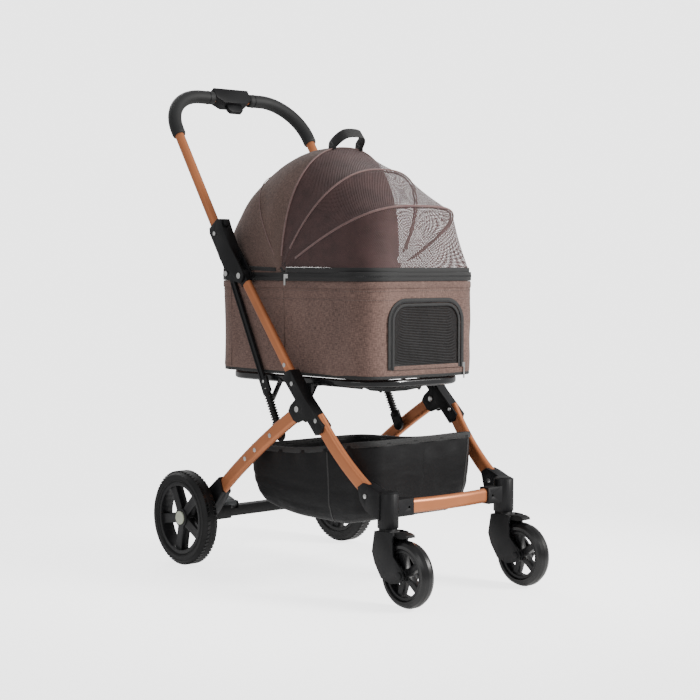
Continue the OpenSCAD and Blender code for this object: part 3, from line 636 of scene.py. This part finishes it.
def door_outline(e, n=90):
    """Arch from the lower left up and round to the lower right."""
    pts = [(-0.091 - e, 0.430), (-0.091 - e, 0.520)]
    pts += [(-0.055 - (0.036 + e) * math.cos(math.radians(a)), 0.520 + (0.036 + e) * math.sin(math.radians(a)))
            for a in range(0, 91, 6)]
    pts += [(-p[0], p[1]) for p in pts[::-1]]
    pts = np.array(pts)
    s = np.concatenate([[0], np.cumsum(np.linalg.norm(np.diff(pts, axis=0), axis=1))])
    t = np.linspace(0, s[-1], n)
    return np.stack([np.interp(t, s, pts[:, k]) for k in (0, 1)], -1)


def front_y(x, e=0.0):
    """The bag's front face at x."""
    k = max(0.0, abs(x) - (BX - BR))
    return BY0 - e + BR - math.sqrt(max(0.0, BR ** 2 - k ** 2))


nx, nz = 46, 34
pan = np.zeros((nx, nz, 3))
for i in range(nx):
    x = -0.0905 + 0.181 * i / (nx - 1)
    top = 0.5555 if abs(x) < 0.055 else 0.520 + math.sqrt(max(0, 0.0355 ** 2 - (abs(x) - 0.055) ** 2))
    for j in range(nz):
        z = 0.4285 + (top - 0.4285) * j / (nz - 1)
        d = 0.0030 * math.sin(math.pi * i / (nx - 1)) * math.sin(math.pi * j / (nz - 1))
        d *= 0.6 + 0.8 * noise.noise(Vector((x * 22, z * 18, 2.0)))
        pan[i, j] = (x, -0.2386 + d, z)
door = grid("door_net", pan, M["net_black"])
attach(door, "door")
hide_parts("front_door")


def door_band(name, e, w, t, off, mat, body):
    o2d = door_outline(e)
    path = np.array([(x, front_y(x) - off, z) for x, z in o2d])
    o = sweep(name, path, flat_section(w, t), mat, up=(0, -1, 0))
    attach(o, body)
    return o


door_band("door_binding", -0.0030, 0.006, 0.0018, 0.0004, M["trim"], "door")
door_band("door_zip_tape", 0.0055, 0.009, 0.0016, 0.0006, M["trim"], "carrier")
z2 = door_outline(0.0024, 210)
door_teeth = blocks("door_zip_teeth", [
    (np.array([x, front_y(x) - 0.0016, z]), (0.0009, 0, 0), (0, 0.0005, 0), (0, 0, 0.0009)) for x, z in z2], M["zip"])
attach(door_teeth, "carrier")
door_hem = sweep("door_hem", [(x, -0.2402, 0.4325) for x in np.linspace(-0.089, 0.089, 30)],
                 flat_section(0.0018, 0.008), M["bag"])
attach(door_hem, "door")
pull = blocks("door_pull", [((0.101, -0.2404, 0.4330), (0.0034, 0, 0), (0, 0.0010, 0), (0, 0, 0.0046)),
                            ((0.1015, -0.2412, 0.4180), (0.0016, 0, 0), (0, 0.0006, 0), (0, 0, 0.0120))], M["rivet"])
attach(pull, "carrier")

# rear pocket
nx, nz = 40, 24
pan = np.zeros((nx, nz, 3))
for i in range(nx):
    x = -0.100 + 0.200 * i / (nx - 1)
    for j in range(nz):
        t = j / (nz - 1)
        z = 0.430 + 0.130 * t
        d = 0.016 * math.sin(math.pi * i / (nx - 1)) ** 0.35 * (0.35 + 0.65 * math.sin(math.pi * (0.15 + 0.75 * t)))
        d *= 1 + 0.2 * noise.noise(Vector((x * 30, z * 30, 5.0)))
        if i in (0, nx - 1) or j == 0:
            d = 0.0
        pan[i, j] = (x, BY1 + 0.0012 + d, z)
pocket = grid("rear_pocket", pan, M["net_black"])
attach(pocket, "carrier")
top = sweep("pocket_hem", pan[:, -1], flat_section(0.0030, 0.010), M["trim"])
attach(top, "carrier")

# ------------------------------------------------------------------ floor pad

px, py, pn = 0.143, 0.228, 34
pp = np.zeros((pn, pn + 14, 3))
lo_pad, hi_pad = [], []
verts, faces, uvs = [], [], []
nxp, nyp = 30, 44
for side_ in (0, 1):
    for i in range(nxp + 1):
        for j in range(nyp + 1):
            x = px * (2 * i / nxp - 1)
            y = 0.005 + py * (2 * j / nyp - 1)
            # round the corners of the plan
            ex, ey = x / px, (y - 0.005) / py
            m = (abs(ex) ** 9 + abs(ey) ** 9) ** (1 / 9)
            q = max(abs(ex), abs(ey)) / max(m, 1e-6) if m > 0 else 1
            edge = 1 - min(1.0, max(abs(ex), abs(ey))) ** 8
            tuft = 0.0035 * abs(math.sin(math.pi * (x + px) / 0.0715) * math.sin(math.pi * (y + py) / 0.076)) ** 0.5
            h = (0.0055 + tuft) * edge if side_ else -0.0020 * edge
            verts.append((x * q, 0.005 + (y - 0.005) * q, 0.4205 + 0.0015 + h))
            uvs.append((x, y))
base = (nxp + 1) * (nyp + 1)
for i in range(nxp):
    for j in range(nyp):
        a = i * (nyp + 1) + j
        f = [a, a + nyp + 1, a + nyp + 2, a + 1]
        faces.append(f[::-1])
        faces.append([base + k for k in f])
loop = [i * (nyp + 1) for i in range(nxp + 1)] + [nxp * (nyp + 1) + j for j in range(1, nyp + 1)]
loop += [i * (nyp + 1) + nyp for i in range(nxp - 1, -1, -1)] + [j for j in range(nyp - 1, 0, -1)]
for k, a in enumerate(loop):
    b = loop[(k + 1) % len(loop)]
    faces.append([a, b, base + b, base + a])
pad = make("floor_cushion", verts, faces, M["pad"], uvs, close=True)
rest = bpy.data.objects.new("pad_rest", bpy.data.meshes.new("pad_rest"))
rest.data.from_pydata([(-0.3, -0.4, 0.4175), (0.3, -0.4, 0.4175), (0.3, 0.4, 0.4175), (-0.3, 0.4, 0.4175)], [],
                      [(0, 1, 2, 3)])
bpy.context.scene.collection.objects.link(rest)
rest.modifiers.new("c", "COLLISION")
rest.collision.thickness_outer = 0.001
cm = pad.modifiers.new("cloth", "CLOTH")
st = cm.settings
st.quality = 5
st.mass = 0.2
st.tension_stiffness = 25
st.compression_stiffness = 25
st.bending_stiffness = 1.5
st.use_pressure = True
st.uniform_pressure_force = 0.25
st.shrink_min = -0.01
cm.collision_settings.distance_min = 0.001
cm.point_cache.frame_start = 1
cm.point_cache.frame_end = 24
for fr in range(1, 25):
    bpy.context.scene.frame_set(fr)
dg = bpy.context.evaluated_depsgraph_get()
done = bpy.data.meshes.new_from_object(pad.evaluated_get(dg))
pad.modifiers.clear()
pad.data = done
bpy.data.objects.remove(rest)
bpy.context.scene.frame_set(1)
for v in pad.data.vertices:
    v.co.x = max(-0.1455, min(0.1455, v.co.x))
    v.co.y = max(-0.2300, min(0.2400, v.co.y))
    v.co.z = max(0.4165, min(0.4400, v.co.z))
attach(pad, "carrier")
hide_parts("carrier_floor")

# ------------------------------------------------------------------ basket

BCX, BCY = 0.0, -0.044


def basket_rim(n):
    p, nn, s = outline(n, 0.0, 0.1485, -0.236, 0.150, 0.042)
    z = 0.252 + (0.144 - p[:, 1]) * 0.10
    sagv = 0.004 * np.cos(2 * np.pi * (p[:, 1] + 0.232) / 0.376 * 1.0)
    return np.column_stack([p, z + sagv - 0.003]), nn, s


rim, rn, rs = basket_rim(220)
cols = []
nvb = 46
for j in range(nvb + 1):
    th = math.pi / 2 * j / nvb * 0.999
    sc = math.cos(th) ** 0.15
    hh = math.sin(th) ** 0.88
    col = []
    for (x, y, z), n in zip(rim, rn):
        zb = 0.1235 + 0.020 * max(0, (y + 0.02) / 0.16) ** 2 * sc + 0.016 * max(0, (-0.16 - y) / 0.08) * sc
        x1, y1 = BCX + (x - BCX) * sc, BCY + (y - BCY) * sc
        bul = 0.0018 * wave((x1, y1, z - hh), (10, 10, 10), 2.2) + 0.0012 * wave((x, y, hh * 0.3), (34, 34, 12), 6.0)
        bul *= math.sin(math.pi * min(1, j / nvb))
        fold = 0.002 * math.sin(90 * (x + y)) * math.exp(-((hh - 0.05) / 0.16) ** 2)
        x1, y1 = x1 + n[0] * (bul + fold - 0.001), y1 + n[1] * (bul + fold - 0.001)
        col.append([x1, y1, z + (zb - z) * hh])
    cols.append(col)
bgrid = np.array(cols).transpose(1, 0, 2)
basket = grid("basket_tub", bgrid, M["basket"], wrap=True, flip=True,
              uv=np.stack(np.meshgrid(rs, np.linspace(0, 0.30, nvb + 1), indexing="ij"), -1))
solid(basket, 0.0012, 1)
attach(basket, "chassis")
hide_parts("basket")
# cut as a floor of the rim's outline and a wall 0.11 m deep
o = sweep("basket_hem", rim, flat_section(0.0036, 0.012), M["trim"], closed=True)
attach(o, "chassis")
for k, u in enumerate((20, 90, 112, 178)):
    path = bgrid[u % 220, 1:-6] + np.array([rn[u % 220][0], rn[u % 220][1], 0]) * 0.0012
    o = sweep(f"basket_seam_{k}", path, flat_section(0.0050, 0.0016), M["trim"], up=(rn[u % 220][0], rn[u % 220][1], 0))
    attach(o, "chassis")
# ------------------------------------------------------------------ handle grip

HC, HS = math.cos(math.radians(56.3)), math.sin(math.radians(56.3))


def hp(x, d, n=0.021):
    return (x, 0.109 + d * HC + n * HS, 0.608 + d * HS - n * HC)


for s in (-1, 1):
    path = [hp(s * 0.180, d) for d in np.linspace(0.371, 0.384, 6)]
    path += [hp(s * (0.082 + 0.098 * math.cos(a)), 0.385 + 0.098 * math.sin(a)) for a in np.linspace(0, math.pi / 2, 46)]
    path += [hp(s * x, 0.483) for x in np.linspace(0.080, 0.0475, 10)]
    path = np.array(path)
    lens = np.concatenate([[0], np.cumsum(np.linalg.norm(np.diff(path, axis=0), axis=1))])
    sc = np.ones(len(path))
    for q, l in enumerate(lens):
        e = min(l, lens[-1] - l)
        sc[q] = 0.90 + 0.10 * min(1, e / 0.004)
    o = sweep(f"grip_foam_{'lr'[s > 0]}", path, ring_section(0.0145, 28), M["foam"], up=(0, HS, -HC), scale=sc)
    o.data.name = o.name
    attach(o, "handle")
    if s < 0:
        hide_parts("handle_grip")
    for k, (x, w) in enumerate(((0.062, 0.0020), (0.088, 0.0016))):
        c = np.array([hp(s * (x - 0.001), 0.483), hp(s * (x + 0.001), 0.483)])
        if x > 0.082:
            continue
        o = sweep(f"grip_band_{'lr'[s > 0]}{k}", c, ring_section(0.0150, 28), M["black"], up=(0, HS, -HC))
        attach(o, "handle")

# ------------------------------------------------------------------ push rod boots, flanges and rivet heads

pb, pc = np.array([0.178, 0.612]), np.array([0.0135, 0.2907])
ru = (pc - pb) / np.linalg.norm(pc - pb)
for s in (-1, 1):
    tag = "lr"[s > 0]
    n = 104
    tt = np.linspace(0.2744, 0.3320, n)
    path = np.array([(s * 0.1605, *(pb + t * ru)) for t in tt])
    rad = [0.0062 + 0.0030 * (0.5 + 0.5 * math.cos(2 * math.pi * (t - 0.2744) / 0.0058)) ** 1.6 for t in tt]
    o = sweep(f"boot_{tag}", path, ring_section(1.0, 26), M["boot"], up=(1, 0, 0), scale=rad)
    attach(o, f"rod_{tag}")
    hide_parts(f"spring_{tag}")
    # two raised flanges and rivet heads on the rod
    ang = math.atan2(ru[1], ru[0])
    side2 = np.array([-ru[1], ru[0]])
    bars = []
    for k in (-1, 1):
        m = pb + 0.130 * ru + k * 0.0052 * side2
        bars.append(((s * 0.1636, *m), (0.0006, 0, 0), (0, *(0.110 * ru)), (0, *(0.0014 * side2))))
    o = blocks(f"rod_flange_{tag}", bars, M["black"])
    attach(o, f"rod_{tag}")
    heads = []
    for t in (0.244, 0.262, 0.350):
        c = pb + t * ru
        heads.append(sweep(f"rod_rivet_{tag}{int(t * 1000)}",
                           np.array([(s * 0.1630, *c), (s * 0.1640, *c), (s * 0.1646, *c)]),
                           ring_section(0.0036, 18), M["rivet"], up=(0, 0, 1), scale=[1.0, 0.9, 0.55]))
    for o in heads:
        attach(o, f"rod_{tag}")

# ------------------------------------------------------------------ tyre tread

for s in (-1, 1):
    tag = "lr"[s > 0]
    items = []
    n = 66
    for i in range(n):
        for row, x in enumerate((-0.0085, 0.0, 0.0085)):
            a = 2 * math.pi * (i + 0.5 * (row % 2)) / n
            rad = np.array([0, math.cos(a), math.sin(a)])
            tan = np.array([0, -math.sin(a), math.cos(a)])
            c = np.array([s * 0.217 + x, 0.267, 0.099]) + rad * 0.0983
            items.append((c, np.array([0.0032, 0, 0]) + tan * 0.0009 * (1 if row else -1), tan * 0.0031, rad * 0.00062))
    o = blocks(f"tread_{tag}", items, M["tyre_gloss"])
    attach(o, f"rear_wheel_{tag}")
    # shallow rings on the side wall
    for k, r in enumerate((0.0805, 0.0895)):
        path = np.array([(s * 0.2352, 0.267 + r * math.cos(a), 0.099 + r * math.sin(a))
                         for a in np.linspace(0, 2 * math.pi, 120, endpoint=False)])
        o = sweep(f"wall_ring_{tag}{k}", path, ring_section(0.0006, 8), M["tyre"], closed=True, up=(1, 0, 0))
        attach(o, f"rear_wheel_{tag}")

# ------------------------------------------------------------------ stage, light and camera

fm, fn, fp = new_mat("studio_floor", (0.90, 0.90, 0.90), 0.85)
grain = tex_noise(fn, coords(fn), 3, 2)
fn.links.new(ramp(fn, grain, [(0.2, (0.895, 0.895, 0.895)), (0.8, (0.905, 0.905, 0.905))]), fp.inputs["Base Color"])
fpos = nd(fn, "ShaderNodeVectorMath", {"operation": "LENGTH"}, {0: coords(fn)}).outputs["Value"]
fade = nd(fn, "ShaderNodeMapRange", {"interpolation_type": "SMOOTHSTEP"},
          {"Value": fpos, "From Min": 0.45, "From Max": 1.15, "To Min": 1.0, "To Max": 0.0})
fn.links.new(fade.outputs["Result"], fp.inputs["Alpha"])
fp.inputs["Emission Color"].default_value = (1, 1, 1, 1)
ray = fn.nodes.new("ShaderNodeLightPath").outputs["Is Camera Ray"]
fn.links.new(mth(fn, "MULTIPLY_ADD", ray, 2.2, 0.3), fp.inputs["Emission Strength"])
rim_ = [(1.3 * math.cos(2 * math.pi * i / 96), 1.3 * math.sin(2 * math.pi * i / 96), -0.0012) for i in range(96)]
floor = make("floor", rim_, [list(range(96))], fm, smooth=False)

world = bpy.data.worlds.new("studio")
bpy.context.scene.world = world
world.use_nodes = True
wn = world.node_tree
wn.nodes.clear()
out = wn.nodes.new("ShaderNodeOutputWorld")
seen = nd(wn, "ShaderNodeBackground", None, {"Color": (1, 1, 1, 1), "Strength": 3.2})
lit = nd(wn, "ShaderNodeBackground", None, {"Color": (1, 1, 1, 1), "Strength": 0.50})
path_ = wn.nodes.new("ShaderNodeLightPath")
mixer = wn.nodes.new("ShaderNodeMixShader")
wn.links.new(path_.outputs["Is Camera Ray"], mixer.inputs[0])
wn.links.new(lit.outputs[0], mixer.inputs[1])
wn.links.new(seen.outputs[0], mixer.inputs[2])
wn.links.new(mixer.outputs[0], out.inputs["Surface"])


def area_light(name, pos, target, size, power, color=(1, 1, 1)):
    d = bpy.data.lights.new(name, "AREA")
    d.size = size
    d.energy = power
    d.color = color
    o = bpy.data.objects.new(name, d)
    o.location = pos
    o.rotation_euler = (Vector(target) - Vector(pos)).to_track_quat("-Z", "Y").to_euler()
    bpy.context.scene.collection.objects.link(o)
    return o


area_light("key", (1.6, -2.8, 1.9), (0, 0, 0.5), 1.1, 170, (1.0, 0.985, 0.96))
area_light("fill", (-2.9, -0.9, 1.5), (0, 0, 0.5), 1.6, 16)
area_light("back", (0.6, 2.6, 2.2), (0, 0, 0.6), 1.4, 40)

cam = bpy.data.cameras.new("camera")
cam.lens = 79.79
cam.sensor_width = 36
co = bpy.data.objects.new("camera", cam)
co.location = (-2.08015, -2.41460, 0.62936)
co.rotation_euler = (math.radians(90 - 3.12975), 0, math.radians(-40.9013))
bpy.context.scene.collection.objects.link(co)
bpy.context.scene.camera = co
